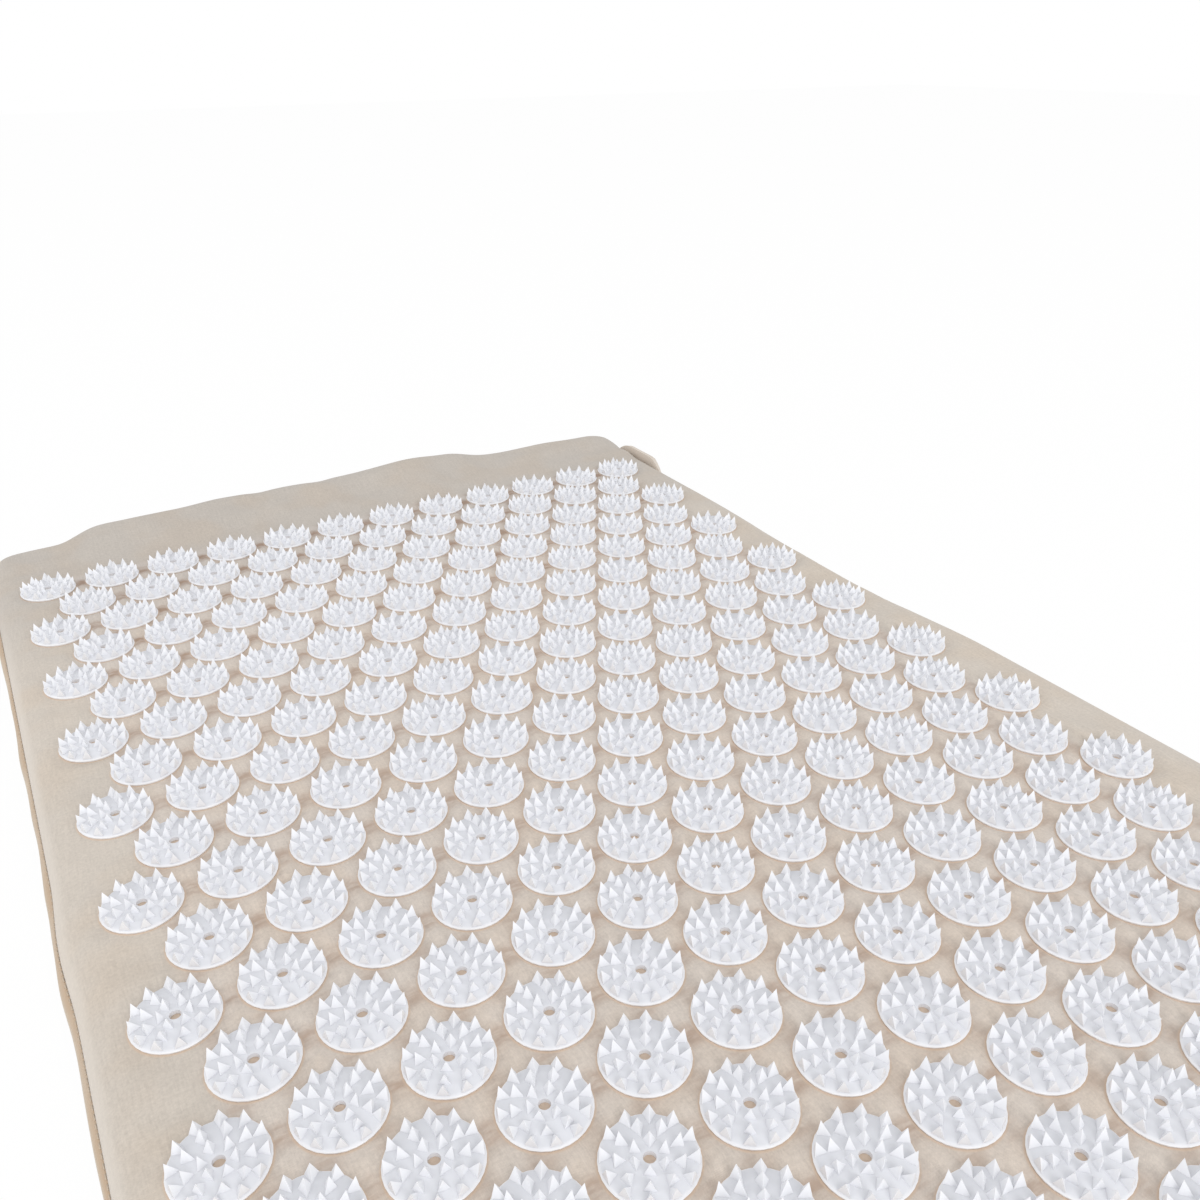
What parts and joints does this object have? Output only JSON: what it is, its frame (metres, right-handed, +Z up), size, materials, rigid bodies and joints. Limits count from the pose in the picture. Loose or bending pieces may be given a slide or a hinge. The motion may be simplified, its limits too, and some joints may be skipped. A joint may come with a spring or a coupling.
{
  "type": "acupressure mat",
  "caption": "Flat cloth-covered foam mat with staggered rows of spiked plastic discs on its top, and a zip with slider and pull closing one end of the cover.",
  "frame": {"origin": "on the floor under the middle of the mat, on the flat underside of the cover", "axes": "+Z up, +Y along the mat to the end with the bare margin and the zip, +X to the right seen from the near end"},
  "size_m": [0.4265, 0.6731, 0.0304],
  "materials": {
    "cotton_cloth": "plain woven undyed cotton, matt beige",
    "seam_thread": "spun polyester sewing thread, beige",
    "foam": "open-cell polyurethane foam, off-white",
    "disc_plastic": "moulded white plastic, satin",
    "zip_tape": "woven zip tape, beige",
    "zip_coil": "nylon zip coil, beige",
    "zip_metal": "plated zinc, satin"
  },
  "bodies": {
    "mat": {"cover_top_panel": "cotton_cloth", "cover_bottom_panel": "cotton_cloth", "foam_core": "foam", "seam_thread_left": "seam_thread", "seam_thread_right": "seam_thread", "seam_thread_near": "seam_thread", "disc_row_01": "disc_plastic", "disc_row_02": "disc_plastic", "disc_row_03": "disc_plastic", "disc_row_04": "disc_plastic", "disc_row_05": "disc_plastic", "disc_row_06": "disc_plastic", "disc_row_07": "disc_plastic", "disc_row_08": "disc_plastic", "disc_row_09": "disc_plastic", "disc_row_10": "disc_plastic", "disc_row_11": "disc_plastic", "disc_row_12": "disc_plastic", "disc_row_13": "disc_plastic", "disc_row_14": "disc_plastic", "disc_row_15": "disc_plastic", "disc_row_16": "disc_plastic", "disc_row_17": "disc_plastic", "disc_row_18": "disc_plastic", "disc_row_19": "disc_plastic", "disc_row_20": "disc_plastic", "zip_tape_lower": "zip_tape", "zip_tape_upper": "zip_tape", "zip_coil_lower": "zip_coil", "zip_coil_upper": "zip_coil", "zip_bottom_stop": "zip_metal", "zip_top_stop_lower": "zip_metal", "zip_top_stop_upper": "zip_metal"},
    "zip_slider": {"zip_slider_body": "zip_metal"},
    "zip_pull": {"zip_pull_tab": "zip_metal"}
  },
  "joints": [
    {"name": "zip_slide", "type": "slide", "parent": "mat", "child": "zip_slider", "axis": [-1, 0, 0], "range_m": [0, 0.3]},
    {"name": "pull_swing", "type": "hinge", "parent": "zip_slider", "child": "zip_pull", "pos_m": [0.15, 0.33455, 0.00915], "axis": [0, 0, -1], "range_deg": [0, 180]}
  ]
}
